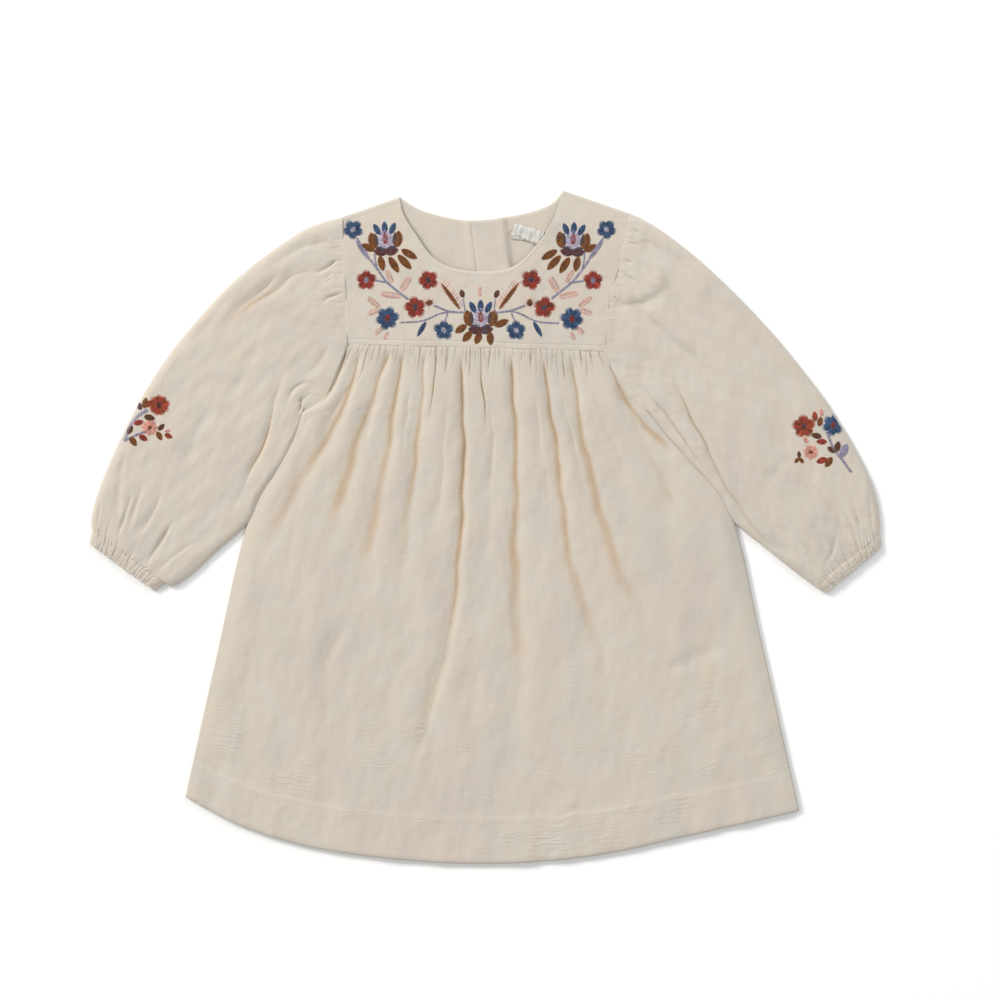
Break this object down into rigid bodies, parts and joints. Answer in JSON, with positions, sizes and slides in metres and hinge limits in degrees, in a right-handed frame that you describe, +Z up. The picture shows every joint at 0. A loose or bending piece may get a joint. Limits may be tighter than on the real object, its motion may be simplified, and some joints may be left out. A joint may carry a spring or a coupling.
{
  "type": "girls dress",
  "caption": "Long-sleeved gathered dress laid flat: embroidered yoke, round neck, balloon sleeves with elastic casings, curved hem, buttoned back opening.",
  "frame": {"origin": "on the surface that the dress lies on, under the middle of its overall width and length", "axes": "+X to the right of someone looking down at the front, from cuff to cuff; +Y from the hem to the neck; +Z up from the surface"},
  "size_m": [0.6185, 0.5251, 0.0064],
  "materials": {
    "cloth": "matte crinkled double gauze",
    "label": "smooth woven tape",
    "button": "satin"
  },
  "bodies": {
    "root": {"front_yoke": "cloth", "back_yoke_left": "cloth", "back_yoke_right": "cloth", "front_skirt": "cloth", "back_skirt": "cloth", "sleeve_left": "cloth", "sleeve_right": "cloth", "cuff_left": "cloth", "cuff_right": "cloth", "neck_label": "label", "back_button_1": "button", "back_button_2": "button", "back_button_3": "button"}
  },
  "joints": []
}
